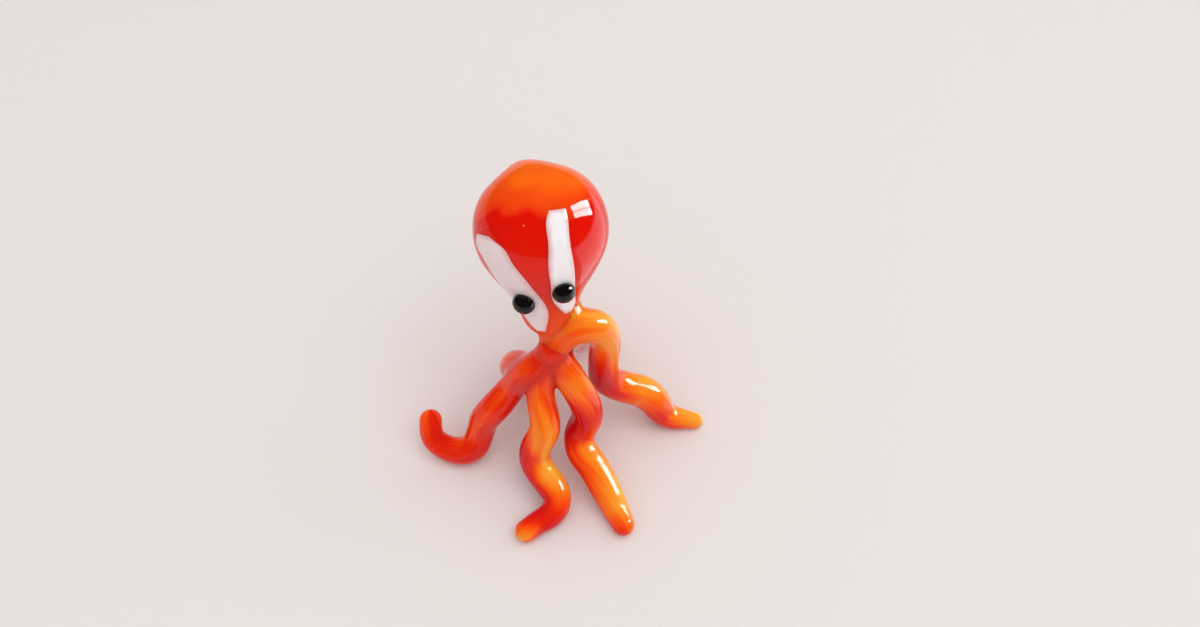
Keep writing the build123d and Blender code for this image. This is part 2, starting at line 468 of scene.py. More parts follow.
@dataclass(frozen=True)
class StreakedGlass(FlamedGlass):
    """Soda-lime glass rod, amber and red gathers drawn out together and fire-polished.

    The eye sees long streaks of red in amber, broad ones and fine cords, that follow the rod.
    """

    name: str = "soda_lime_glass_streaked"
    tones: Tones = (
        (0.00, "#c0041a"),
        (0.20, "#d80c18"),
        (0.42, "#e62c0a"),
        (0.58, "#fc5c12"),
        (0.74, "#ff8c20"),
        (1.00, "#ffb842"),
    )
    streak_width: float = 2.2
    streak_length: float = 14.0
    streak_swing: float = 0.12
    cord_width: float = 0.45
    cord_swing: float = 0.035

    def tone(self, tree: bpy.types.NodeTree) -> bpy.types.NodeSocket:
        """Builds the streaks over the rod's own tone. The broad ones fade where it is fused.

        Args:
            tree: The material's tree.

        Returns:
            The tone at each place.
        """
        place = add_node(tree, "Attribute", attribute_name="streak_place").outputs["Vector"]
        amber = add_node(tree, "Attribute", attribute_name="amber_share").outputs["Fac"]
        fused = add_node(tree, "Attribute", attribute_name="fused_share").outputs["Fac"]
        streaks = []
        for width, swing, noise in (
            (self.streak_width, self.streak_swing, {"Detail": 2.0, "Roughness": 0.4, "Distortion": 0.35}),
            (self.cord_width, self.cord_swing, {"Detail": 1.0, "Roughness": 0.5}),
        ):
            drawn_out = add_node(
                tree,
                "VectorMath",
                {0: place, 1: (1 / width, 1 / width, 1 / self.streak_length)},
                operation="MULTIPLY",
            )
            streak = add_node(tree, "TexNoise", {"Vector": drawn_out.outputs[0], "Scale": 1.0, **noise})
            spread = {"Value": streak.outputs["Fac"], **NOISE_SPAN, "To Min": -swing, "To Max": swing}
            streaks.append(add_node(tree, "MapRange", spread, clamp=False).outputs[0])
        loose = add_node(tree, "Math", {0: 1.0, 1: fused}, operation="SUBTRACT").outputs[0]
        broad = add_node(tree, "Math", {0: streaks[0], 1: loose}, operation="MULTIPLY").outputs[0]
        tone = add_node(tree, "Math", {0: amber, 1: broad}, operation="ADD").outputs[0]
        return add_node(tree, "Math", {0: tone, 1: streaks[1]}, operation="ADD").outputs[0]


@dataclass(frozen=True)
class MantleGlass(FlamedGlass):
    """Soda-lime glass gather, deep red over an amber core, rounded in the flame.

    The eye sees a deep wet red that pales to orange at the neck, where the red lies thin, and towards the
    crown of the head, where the orange is partly the glass's own tone and partly painted light from above.
    """

    name: str = "soda_lime_glass_gather"
    tones: Tones = (
        (0.00, "#f8560a"),
        (0.20, "#f5480c"),
        (0.38, "#ea2008"),
        (0.775, "#e21204"),
        # From here up the top of the head is painted orange: partly its own tone, partly painted light from
        # above
        (0.81, "#f0380c"),
        (0.88, "#f4500e"),
        (0.94, "#ff6a10"),
    )
    seed_gap: float = 2.4
    seed_edge: float = 0.07
    seed_share: float = 0.4
    seed_colour: str = "#ffc08a"
    wave_length: float = 5.0
    wave_strength: float = 0.3
    wave_depth: float = 0.08
    gloss: tuple[float, float] = (0.02, 0.05)
    glow: float = 0.5
    glow_reach: tuple[float, float, float] = (1.0, 0.3, 0.1)
    cloud_size: float = 5.0
    drift: float = 0.04

    def tone(self, tree: bpy.types.NodeTree) -> bpy.types.NodeSocket:
        """Builds the tone by height on the head, which clouds in the glass drift up and down.

        Args:
            tree: The material's tree.

        Returns:
            The tone at each place.
        """
        height = add_node(tree, "Attribute", attribute_name="height_share").outputs["Fac"]
        cloud = add_node(
            tree,
            "TexNoise",
            {
                "Vector": add_node(tree, "TexCoord").outputs["Object"],
                "Scale": 1 / (self.cloud_size * MM),
                "Detail": 1.5,
                "Roughness": 0.4,
                "Distortion": 0.5,
            },
        )
        spread = {"Value": cloud.outputs["Fac"], **NOISE_SPAN, "To Min": -self.drift, "To Max": self.drift}
        drift = add_node(tree, "MapRange", spread, clamp=False).outputs[0]
        return add_node(tree, "Math", {0: height, 1: drift}, operation="ADD").outputs[0]


@dataclass(frozen=True)
class OpalGlass(Finish):
    """Opal white glass, laid on hot as a stringer and melted in.

    The eye sees a milky white that is never flat, with the red below showing pink through its thin edges.
    """

    name: str = "opal_white_glass"
    milk: Tones = ((0.3, "#f9f0f4"), (0.7, "#fffafc"))
    blush: str = "#e9a3a4"
    # Pinkish grey of the painted shade laid over a whole stripe
    painted_shade_tint: str = "#dcb4b4"
    blush_width: float = 0.75
    blush_share: float = 0.85
    ragged: float = 0.12
    cloud_size: float = 2.2
    gloss: float = 0.06
    glow: float = 0.3
    glow_reach: tuple[float, float, float] = (1.0, 0.7, 0.7)
    glow_depth: float = 0.7

    def surface(self, tree: bpy.types.NodeTree) -> Inputs:
        """Builds the milk, the ragged blush at its edges, and the painted shade that greys a whole stripe
        lying in shade.

        Args:
            tree: The material's tree.

        Returns:
            What the surface takes, by input.
        """
        edge = add_node(tree, "Attribute", attribute_name="edge_mm").outputs["Fac"]
        # How much painted shade greys the whole stripe
        thin = add_node(tree, "Attribute", attribute_name="painted_shade_share").outputs["Fac"]
        where = add_node(tree, "TexCoord").outputs["Object"]
        cloud = add_node(
            tree, "TexNoise", {"Vector": where, "Scale": 1 / (self.cloud_size * MM), "Detail": 2.0}
        ).outputs["Fac"]
        colour = set_ramp(add_node(tree, "ValToRGB", {"Fac": cloud}), self.milk)
        spread = {"Value": cloud, **NOISE_SPAN, "To Min": -self.ragged, "To Max": self.ragged}
        ragged = add_node(tree, "MapRange", spread, clamp=False).outputs[0]
        depth = add_node(tree, "Math", {0: edge, 1: ragged}, operation="ADD").outputs[0]
        blush = add_node(
            tree,
            "MapRange",
            {
                "Value": depth,
                "From Min": 0.0,
                "From Max": self.blush_width,
                "To Min": self.blush_share,
                "To Max": 0.0,
            },
        )
        # The blush at the edges, then the painted shade over the whole stripe
        for share, tint in ((blush.outputs[0], self.blush), (thin, self.painted_shade_tint)):
            inputs = {MIX_SHARE: share, MIX_FIRST: colour, MIX_SECOND: linear(tint)}
            colour = add_node(tree, "Mix", inputs, data_type="RGBA").outputs[MIX_COLOUR]
        return {
            "Base Color": colour,
            "Roughness": self.gloss,
            "IOR": self.ior,
            "Subsurface Weight": self.glow,
            "Subsurface Radius": self.glow_reach,
            "Subsurface Scale": self.glow_depth * MM,
        }


@dataclass(frozen=True)
class BlackGlass(Finish):
    """Black glass, a dense manganese glass dotted on as a bead and fire-polished.

    The eye sees pure black with mirror-clear reflections, and a faint violet in its clouds.
    """

    name: str = "black_manganese_glass"
    blacks: Tones = ((0.35, "#060506"), (0.7, "#120c12"))
    gloss: tuple[float, float] = (0.02, 0.05)
    specular: float = 0.28
    cloud_size: float = 0.9

    def surface(self, tree: bpy.types.NodeTree) -> Inputs:
        """Builds the clouded black and its gloss.

        Args:
            tree: The material's tree.

        Returns:
            What the surface takes, by input.
        """
        where = add_node(tree, "TexCoord").outputs["Object"]
        cloud = add_node(
            tree, "TexNoise", {"Vector": where, "Scale": 1 / (self.cloud_size * MM), "Detail": 1.0}
        ).outputs["Fac"]
        gloss = add_node(
            tree,
            "MapRange",
            {"Value": cloud, **NOISE_SPAN, "To Min": self.gloss[0], "To Max": self.gloss[1]},
        )
        return {
            "Base Color": set_ramp(add_node(tree, "ValToRGB", {"Fac": cloud}), self.blacks),
            "Roughness": gloss.outputs[0],
            "IOR": self.ior,
            "Specular IOR Level": self.specular,
        }


@dataclass(frozen=True)
class FloorPaint(Finish):
    """Matt emulsion paint, rolled on. The eye sees a pale ground without gloss."""

    name: str = "floor_paint"
    colour: str = "#e7e2e0"
    roughness: float = 0.9
    specular: float = 0.0

    def surface(self, tree: bpy.types.NodeTree) -> Inputs:
        """Gives the paint's plain colour, which needs no node of its own."""
        colour = linear(self.colour)
        return {"Base Color": colour, "Roughness": self.roughness, "Specular IOR Level": self.specular}


# The octopus, in millimetres


@dataclass(frozen=True)
class Stance:
    """Where the crown stands over the feet, and how the mantle leans on it."""

    crown_height: float = 24.0
    crown_right: float = 1.11
    crown_forward: float = 1.84
    foot_flat: float = 0.15
    mantle_lean: float = 36.0
    mantle_heading: float = 100.0

    def centre(self) -> np.ndarray:
        """The crown's centre."""
        return np.array((-self.crown_right, -self.crown_forward, self.crown_height))

    def axis(self) -> np.ndarray:
        """The mantle's axis, upward."""
        lean, heading = math.radians(self.mantle_lean), math.radians(self.mantle_heading)
        return np.array(
            (math.sin(lean) * math.cos(heading), math.sin(lean) * math.sin(heading), math.cos(lean))
        )

    def outward(self, azimuth: float) -> np.ndarray:
        """Finds a direction square out of the mantle's axis.

        Args:
            azimuth: Its turn in degrees, from the face towards the octopus's left.

        Returns:
            The direction.
        """
        axis = self.axis()
        face = unit(-BACK + axis * axis[1])
        turn = math.radians(azimuth)
        return face * math.cos(turn) + np.cross(axis, face) * math.sin(turn)


STANCE = Stance()


@dataclass
class Mantle:
    """The bulb of the head: its profile turned about the leaning axis, with soft swells from shaping."""

    radius: float = 9.55
    length: float = 18.3
    neck_radius: float = 4.45
    nub_radius: float = 3.9
    nub_rise: float = 0.15
    bulb_end_degrees: float = -28.0
    # Height and radius down the flank, as shares of the length and of the neck's radius
    flank_shares: Table = (
        (0.61, 1.52),
        (0.48, 1.15),
        (0.38, 0.98),
        (0.295, 0.88),
        (0.21, 0.68),
        (0.14, 0.42),
        (0.075, 0.32),
    )
    # Rise and spread of each swell or dip, and the direction in which it lies from the bulb's middle
    swells: Table = (
        (-0.38, 3.6, 0.14, 0.75, 0.64),
        (0.34, 2.2, -0.33, 0.71, 0.61),
        (-0.42, 2.4, -0.69, 0.55, 0.47),
    )
    ripple_height: float = 0.03
    ripple_length: float = 9.0
    ripple_phase: float = 0.4
    around: int = 224
    flank_rings: int = 100
    bulb_rings: int = 100
    nub_rings: int = 22
    foot_rings: int = 4

    def flank(self, swell: float = 0.0) -> np.ndarray:
        """The drawn-in flank from the bulb down to the neck's end.

        Args:
            swell: How far outside the glass it lies.

        Returns:
            Rows of a radius and a height on the axis.
        """
        angle = math.radians(self.bulb_end_degrees)
        radius = self.radius + swell
        rows = [(radius * math.cos(angle), self.length + radius * math.sin(angle))]
        rows += [
            (share * self.neck_radius + swell, height * self.length)
            for height, share in self.flank_shares
        ]
        points = np.array(rows)
        knots = chords(points)
        ends = (np.array((math.sin(angle), -math.cos(angle))), unit(np.array((-1.0, -1.0))))
        return smooth_through(knots, points, np.linspace(0, knots[-1], self.flank_rings), ends)

    def profile(self) -> np.ndarray:
        """Draws the profile from the neck's end up to the last ring before the top.

        Returns:
            Rows of a radius and a height on the axis.
        """
        flank = self.flank()[::-1]
        foot = np.stack(
            [
                np.linspace(0, flank[0, 0], self.foot_rings + 1)[1:-1],
                np.full(self.foot_rings - 1, flank[0, 1]),
            ],
            axis=1,
        )
        nub_side = math.sqrt(self.radius**2 - self.nub_radius**2)
        bulb_end, nub_end = math.radians(self.bulb_end_degrees), math.asin(nub_side / self.radius)
        angles = np.linspace(bulb_end, nub_end, self.bulb_rings + 2)[1:]
        circle = np.stack((np.cos(angles), np.sin(angles)), axis=1)
        bulb = np.array((0.0, self.length)) + self.radius * circle
        ends = np.stack((bulb[-1], (0.0, self.length + self.radius + self.nub_rise)))
        knots = chords(ends)
        slopes = (np.array((-nub_side, self.nub_radius)) / self.radius, np.array((-1.0, 0.0)))
        nub = smooth_through(knots, ends, np.linspace(0, knots[-1], self.nub_rings + 2)[1:-1], slopes)
        return np.vstack((foot, flank, bulb, nub))

    def skin(self) -> Skin:
        """Turns the profile, with its swells and the faint ripple of hand-turned glass.

        Returns:
            The bulb's whole skin.
        """
        profile = self.profile()
        centre, axis = STANCE.centre(), STANCE.axis()
        ways = spokes(STANCE.outward(0), STANCE.outward(90), self.around)
        rings = centre + profile[:, 1, None, None] * axis + profile[:, 0, None, None] * ways[None]
        top = centre + axis * (self.length + self.radius + self.nub_rise)
        skin = Skin(rings, centre + axis * profile[0, 1], top)
        points = skin.points()
        return skin.moved(points + skin.outward() * self.lift(points)[:, None])

    def lift(self, points: np.ndarray) -> np.ndarray:
        """How far the swells and the ripple stand out of the turned profile.

        Args:
            points: Places on the profile.

        Returns:
            The height at each.
        """
        middle = STANCE.centre() + STANCE.axis() * self.length
        neck = np.clip(np.linalg.norm(points - STANCE.centre(), axis=1) / self.length, 0, 1)
        lift = self.ripple_height * ripple(points, self.ripple_length, self.ripple_phase) * neck
        for rise, spread, *towards in self.swells:
            peak = middle + unit(np.array(towards)) * self.radius
            lift += rise * np.exp(-((np.linalg.norm(points - peak, axis=1) / spread) ** 2))
        return lift

    def distance(self, points: np.ndarray) -> np.ndarray:
        """Distance from the turned profile.

        Args:
            points: Places to measure from.

        Returns:
            One distance for each place, less than zero inside.
        """
        from_centre = points - STANCE.centre()
        height = from_centre @ STANCE.axis()
        radius = np.linalg.norm(from_centre - height[:, None] * STANCE.axis(), axis=1)
        profile = self.profile()[::2]
        flat = np.stack((radius, height), axis=1)
        away = distance_to_line(flat, profile, np.zeros(len(profile)))
        inside = (radius < np.interp(height, profile[:, 1], profile[:, 0])) & (height > profile[0, 1])
        return np.where(inside, -away, away)

    def surface(
        self, sideways: np.ndarray, heights: np.ndarray, azimuth: float
    ) -> tuple[np.ndarray, np.ndarray]:
        """Finds points of the bulb's wall, seen square on at an azimuth.

        Args:
            sideways: How far aside of the axis each point is.
            heights: Its height on the axis.
            azimuth: Where the wall is looked at from.

        Returns:
            The points, and the outward direction at each.
        """
        profile = self.profile()
        wall = np.interp(heights, profile[:, 1], profile[:, 0])
        slope = np.interp(
            heights, profile[:, 1], np.gradient(profile[:, 0]) / np.gradient(profile[:, 1]).clip(1e-6)
        )
        towards = np.sqrt(np.maximum(wall**2 - sideways**2, 0))
        out = STANCE.outward(azimuth)
        spoke = sideways[:, None] * np.cross(STANCE.axis(), out) + towards[:, None] * out
        normal = unit(unit(spoke) - slope[:, None] * STANCE.axis())
        points = STANCE.centre() + heights[:, None] * STANCE.axis() + spoke
        return points + normal * self.lift(points)[:, None], normal

    def build(self, melt: MeltedBody, finish: bpy.types.Material) -> bpy.types.Object:
        """Builds and dresses the mantle.

        Args:
            melt: The glass that it runs into.
            finish: Its material.

        Returns:
            The new piece.
        """
        skin = self.skin()
        points = melt.settle(self.distance, skin.points(), skin.outward())
        heights = (points - STANCE.centre()) @ STANCE.axis() / (self.length + self.radius)
        return make_piece("mantle", finish, skin.moved(points), {"height_share": heights})


@dataclass
class MeltedBody:
    """The glass of the whole body as one field, by which its pieces run into each other where they meet.

    Each solid and each rod in it is a piece's own distance. The tuck is how far a point that a neighbour
    covers is drawn in under it.
    """

    solids: list[Distance]
    rods: list[Distance]
    melt_width: float = 1.15
    melt_reach: float = 9.0
    shoulder: tuple[float, float, float] = (3.0, 2.6, 5.0)
    shoulder_width: float = 1.1
    shoulder_spread: float = 3.2
    fade: float = 5.0
    least_share: float = 0.25
    tuck: float = 0.12
    rounds: int = 16
    # Width and depth of the painted shade that reddens the creases between the rods
    crease_shade_width: float = 0.75
    crease_shade_depth: float = 0.24

    def width(self, points: np.ndarray) -> np.ndarray:
        """How wide the glass has run together: widest round the crown and at the shoulder of the arch.

        Args:
            points: Places in the glass.

        Returns:
            The width at each.
        """
        from_centre = points - STANCE.centre()
        away = np.linalg.norm(from_centre, axis=1)
        share = 1 - (1 - self.least_share) * np.clip((away - self.melt_reach) / self.fade, 0, 1)
        beside = np.linalg.norm(from_centre - np.array(self.shoulder), axis=1) / self.shoulder_spread
        return self.melt_width * share + self.shoulder_width * np.exp(-(beside**2))

    def painted_crease_shade(self, own: Distance, points: np.ndarray) -> np.ndarray:
        """Painted shade at each point of a piece: how much redder the glass is made in the creases beside
        the other rods.
        """
        gaps = np.min([rod(points) for rod in self.rods if rod != own], axis=0)
        return self.crease_shade_depth * np.exp(-((np.maximum(gaps, 0) / self.crease_shade_width) ** 2))

    def settle(self, own: Distance, points: np.ndarray, outward: np.ndarray) -> np.ndarray:
        """Moves a piece's points out to the melted surface near its neighbours.

        Args:
            own: The piece's own distance, which is left out of the field.
            points: Its points.
            outward: The outward direction at each.

        Returns:
            The moved points.
        """
        others = [solid for solid in self.solids if solid != own]
        gaps = np.min([solid(points) for solid in others], axis=0)
        near = np.flatnonzero(np.abs(gaps) < 2 * (self.melt_width + self.shoulder_width))
        start, along, hidden = points[near], outward[near], np.minimum(gaps[near], 0)
        width = self.width(start)
        lift = np.zeros(len(near))
        for _ in range(self.rounds):
            places = start + along * lift[:, None]
            nearest = np.sort([lift, *(solid(places) for solid in others)], axis=0)
            gap = nearest[1] - nearest[0]
            melted = nearest[0] - np.maximum(width - gap, 0) ** 2 / (4 * width)
            behind = np.clip((lift - nearest[0]) / width, 0, 1)
            lift = np.clip(lift + hidden - self.tuck * behind - melted, 0, width)
        moved = points.copy()
        moved[near] = start + along * lift[:, None]
        return moved


@dataclass
class Arm:
    """One arm: a rod of glass drawn out, bent along its route and rounded at its tip.

    Its heading is in degrees, from the octopus's left towards its back.
    """

    name: str
    heading: float
    reach: float
    shares: Table
    tones: Table
    phase: float = 0.0
    girth: float = 5.0
    root_share: float = 0.76
    root_dome: float = 0.3
    tip_length_share: float = 1.0
    twist: float = 3.0
    streak_shift: float = 7.0
    fused_reach: float = 4.0
    fused_fade: float = 4.5
    ring_gap: float = 0.25
    around: int = 56
    tip_rings: int = 14
    ripple_length: float = 7.0
    ripple_share: float = 0.012

    def stations(self) -> tuple[np.ndarray, np.ndarray]:
        """Works out the stations from their shares.

        Returns:
            The route's centres and the rod's radii, from the crown to the tip.
        """
        out_x, out_y = math.cos(math.radians(self.heading)), math.sin(math.radians(self.heading))
        centre = STANCE.centre()
        centres, radii = [centre], [self.root_share * self.girth / 2]
        for out_share, side_share, lift_share, girth_share in self.shares:
            radius = girth_share * self.girth / 2
            out, side = out_share * self.reach, side_share * self.reach
            plan = (centre[0] + out * out_x - side * out_y, centre[1] + out * out_y + side * out_x)
            centres.append(
                np.array((*plan, lift_share * STANCE.crown_height + radius - STANCE.foot_flat))
            )
            radii.append(radius)
        return np.array(centres), np.array(radii)

    def route(self, gap: float) -> tuple[np.ndarray, np.ndarray]:
        """Draws the smooth route through the stations.

        Args:
            gap: How far apart it is read.

        Returns:
            Its centres and the rod's radii.
        """
        centres, radii = self.stations()
        knots = chords(centres)
        places = np.linspace(0, knots[-1], int(knots[-1] / gap) + 1)
        both = smooth_through(knots, np.column_stack((centres, radii)), places)
        return both[:, :3], both[:, 3]

    def skin(self) -> Skin:
        """Wraps the route in rings square to it, with a dome of rings over each end.

        Returns:
            The rod's skin.
        """
        line, radii = self.route(self.ring_gap)
        tangents = unit(np.gradient(line, axis=0))
        bows = np.linspace(0, math.pi / 2, self.tip_rings + 1)[1:-1]
        root_length, tip_length = radii[0] * self.root_dome, radii[-1] * self.tip_length_share
        root_line = line[0] - tangents[0] * (root_length * np.sin(bows[::-1]))[:, None]
        tip_line = line[-1] + tangents[-1] * (tip_length * np.sin(bows))[:, None]
        centres = np.vstack((root_line, line, tip_line))
        sizes = np.concatenate((radii[0] * np.cos(bows[::-1]), radii, radii[-1] * np.cos(bows)))
        ways = np.vstack(
            (np.tile(tangents[0], (len(bows), 1)), tangents, np.tile(tangents[-1], (len(bows), 1)))
        )
        steady = UP
        rings = np.empty((len(centres), self.around, 3))
        for place, (centre, size, way) in enumerate(zip(centres, sizes, ways)):
            steady = unit(steady - way * (steady @ way))
            rings[place] = centre + spokes(steady, np.cross(way, steady), self.around) * size
        return Skin(rings, line[0] - tangents[0] * root_length, line[-1] + tangents[-1] * tip_length)

    def distance(self, points: np.ndarray) -> np.ndarray:
        """Distance from the rod at each point, less than zero inside."""
        line, radii = self.route(2 * self.ring_gap)
        return distance_to_line(points, line, radii)

    def marks(self, skin: Skin) -> dict[str, np.ndarray]:
        """What the streaked glass reads at each point: its place in the rod, its tone with painted light on
        one side, and how fused it is.

        Args:
            skin: The rod's skin before it melts in.

        Returns:
            The values at each point, by name.
        """
        centres = skin.rings.mean(axis=1)
        lengths = chords(centres)
        # The poles, which have no side of their own, look up
        out = np.vstack((UP, (skin.rings - centres[:, None]).reshape(-1, 3), UP))
        along = skin.spread(lengths)
        turns = np.tile(np.linspace(0, 2 * math.pi, self.around, endpoint=False), len(centres))
        turns = np.concatenate(([0.0], turns, [0.0])) + np.radians(self.twist) * along + self.phase
        thick = self.girth / 2
        across = thick * np.cos(turns) + self.streak_shift * self.phase
        place = np.stack((across, thick * np.sin(turns), along), axis=1)
        # Lopsided amber: partly the rod's own two-tone streak, partly painted light, lighter on the upward
        # side that faces the light and redder away from it
        amber, lean, heading, rise = read_table(self.tones, along / lengths[-1]).T
        heading, rise = np.radians(heading), np.radians(rise)
        level = np.cos(rise)
        towards = np.stack((np.cos(heading) * level, np.sin(heading) * level, np.sin(rise)), axis=1)
        tone = amber + lean * (unit(out) * towards).sum(axis=1)
        away = np.linalg.norm(skin.points() - STANCE.centre(), axis=1)
        fused = 1 - np.clip((away - self.fused_reach) / self.fused_fade, 0, 1)
        tone = tone + (Crown.amber_share - tone) * fused
        return {"streak_place": place, "amber_share": tone, "fused_share": fused}

    def build(self, melt: MeltedBody, finish: bpy.types.Material) -> bpy.types.Object:
        """Builds and dresses the arm, flat where it rests.

        Args:
            melt: The glass that it runs into.
            finish: Its material.

        Returns:
            The new piece.
        """
        skin = self.skin()
        outward = skin.outward()
        points = melt.settle(self.distance, skin.points(), outward)
        wave = ripple(points, self.ripple_length, self.phase) * self.ripple_share * self.girth / 2
        points = points + outward * wave[:, None]
        points[:, 2] = np.maximum(points[:, 2], 0)
        marks = self.marks(skin)
        # Painted shade: the arm is made redder in the creases beside the other rods
        marks["amber_share"] -= melt.painted_crease_shade(self.distance, points)
        return make_piece(self.name, finish, skin.moved(points), marks)


@dataclass
class Crown:
    """The gather in which neck and arms meet, swelling out between the arms' roots."""

    radius: float = 2.25
    rise: float = 2.5
    amber_share: float = 0.56
    around: int = 64
    rings: int = 40

    def distance(self, points: np.ndarray) -> np.ndarray:
        """Distance from the gather.

        Args:
            points: Places to measure from.

        Returns:
            One distance for each place, less than zero inside.
        """
        sizes = np.array((self.radius, self.radius, self.rise))
        shares = (points - STANCE.centre()) / sizes
        size = np.linalg.norm(shares, axis=1)
        steep = np.linalg.norm(shares / sizes, axis=1)
        return size * (size - 1) / np.maximum(steep, 1e-9)

    def build(self, melt: MeltedBody, finish: bpy.types.Material) -> bpy.types.Object:
        """Builds and dresses the gather.

        Args:
            melt: The glass that it runs into.
            finish: Its material.

        Returns:
            The new piece.
        """
        heights, counts = (self.rise, self.rise), (self.rings, self.around)
        skin = Skin.ball(STANCE.centre(), (RIGHT, BACK, UP), self.radius, heights, counts)
        points = melt.settle(self.distance, skin.points(), skin.outward())
        # Painted shade: the gather is made redder in the creases beside the arms
        tone = self.amber_share - melt.painted_crease_shade(self.distance, points)
        marks = {"streak_place": points, "amber_share": tone, "fused_share": np.ones(len(points))}
        return make_piece("arm_crown", finish, skin.moved(points), marks)


@dataclass
class EyeStripe:
    """One white stripe, a stringer of opal glass melted down the mantle's flank into a low pillow."""

    name: str
    azimuth: float
    low: float
    length: float
    width: float
    shares: Table
    # Share of painted shade over the whole stripe
    painted_shade: float = 0.0
    rise: float = 0.25
    sink: float = 0.45
    edge_sink: float = 0.03
    shoulder: float = 0.7
    rows: int = 130
    columns: int = 30

    def edges(self, shares: np.ndarray) -> tuple[np.ndarray, np.ndarray]:
        """Reads the stripe's two long edges.

        Args:
            shares: Where along its length to read them.

        Returns:
            How far aside the right-hand and the left-hand edge lie.
        """
        rows = np.array(self.shares)
        smooth = smooth_through(rows[:, 0], rows[:, 1:] * self.width, shares)
        return smooth[:, 0], smooth[:, 1]

    def build(self, mantle: Mantle, finish: bpy.types.Material) -> bpy.types.Object:
        """Builds and dresses the stripe on the mantle's wall.

        Args:
            mantle: The mantle.
            finish: Its material.

        Returns:
            The new piece.
        """
        shares = (1 - np.cos(np.linspace(0, math.pi, self.rows))) / 2
        near, far = self.edges(shares)
        across = np.sin(np.linspace(-math.pi / 2, math.pi / 2, self.columns))
        middle, half = (near + far) / 2, (far - near) / 2
        sideways = middle[:, None] + half[:, None] * across[None]
        heights = self.low + self.length * np.repeat(shares[:, None], self.columns, axis=1)
        to_side = half[:, None] * (1 - np.abs(across))[None]
        to_end = np.minimum(shares, 1 - shares)[:, None] * self.length * np.ones((1, self.columns))
        edge = np.minimum(to_side, to_end)
        bulge = np.sqrt(np.clip(1 - (1 - np.minimum(edge / self.shoulder, 1)) ** 2, 0, 1))
        wall, normal = mantle.surface(sideways.ravel(), heights.ravel(), self.azimuth)
        top = wall + normal * ((self.rise + self.edge_sink) * bulge.ravel() - self.edge_sink)[:, None]
        bottom = wall - normal * (self.edge_sink + (self.sink - self.edge_sink) * bulge.ravel())[:, None]
        shape = (self.rows, self.columns, 3)
        loops = np.concatenate((top.reshape(shape), bottom.reshape(shape)[:, -2:0:-1]), axis=1)
        skin = Skin(loops[1:-1], loops[0].mean(axis=0), loops[-1].mean(axis=0))
        depth = np.concatenate((edge, edge[:, -2:0:-1]), axis=1)[1:-1]
        mark = np.concatenate(([0.0], depth.ravel(), [0.0]))
        # Painted shade, the same over the whole stripe
        marks = {"edge_mm": mark, "painted_shade_share": np.full(len(mark), self.painted_shade)}
        return make_piece(self.name, finish, skin, marks)


@dataclass
class Pupil:
    """One black bead, seated in its stripe where the flank narrows to the neck."""

    name: str
    azimuth: float
    place_share: float
    radius: float = 1.65
    rise: float = 1.5
    lift: float = 0.4
    seat: float = 0.8
    around: int = 72
    rings: int = 48

    def build(self, mantle: Mantle, finish: bpy.types.Material) -> bpy.types.Object:
        """Builds and dresses the bead.

        Args:
            mantle: The mantle.
            finish: Its material.

        Returns:
            The new piece.
        """
        flank = mantle.flank(EyeStripe.rise)
        lengths = chords(flank)
        place = self.place_share * lengths[-1]
        radius, height = (np.interp(place, lengths, column) for column in flank.T)
        fall = unit(np.array([np.interp(place, lengths, np.gradient(column)) for column in flank.T]))
        spoke, axis = STANCE.outward(self.azimuth), STANCE.axis()
        outward = spoke * -fall[1] + axis * fall[0]
        tangent = spoke * fall[0] + axis * fall[1]
        ways = (tangent, np.cross(outward, tangent), outward)
        centre = STANCE.centre() + spoke * radius + axis * height + outward * self.lift
        skin = Skin.ball(centre, ways, self.radius, (self.seat, self.rise), (self.rings, self.around))
        return make_piece(self.name, finish, skin, {})


# Tables of shares

# Stripe edges, as the solids have them: the share of the length, and how far aside the right-hand and
# the left-hand edge lie as shares of the width
LEFT_STRIPE_SHARES: Table = (
    (0.00, 0.30, 0.62),
    (0.06, 0.05, 0.84),
    (0.14, -0.22, 0.80),
    (0.31, -0.46, 0.62),
    (0.55, -0.66, 0.40),
    (0.76, -0.62, 0.28),
    (0.94, -0.54, 0.34),
    (1.00, -0.38, 0.34),
)
RIGHT_STRIPE_SHARES: Table = (
    (0.00, 0.14, 0.38),
    (0.13, -0.12, 0.60),
    (0.28, -0.34, 0.70),
    (0.43, -0.42, 0.75),
    (0.65, -0.46, 0.74),
    (0.80, -0.62, 0.60),
    (0.92, -0.82, 0.38),
    (1.00, -0.68, -0.10),
)

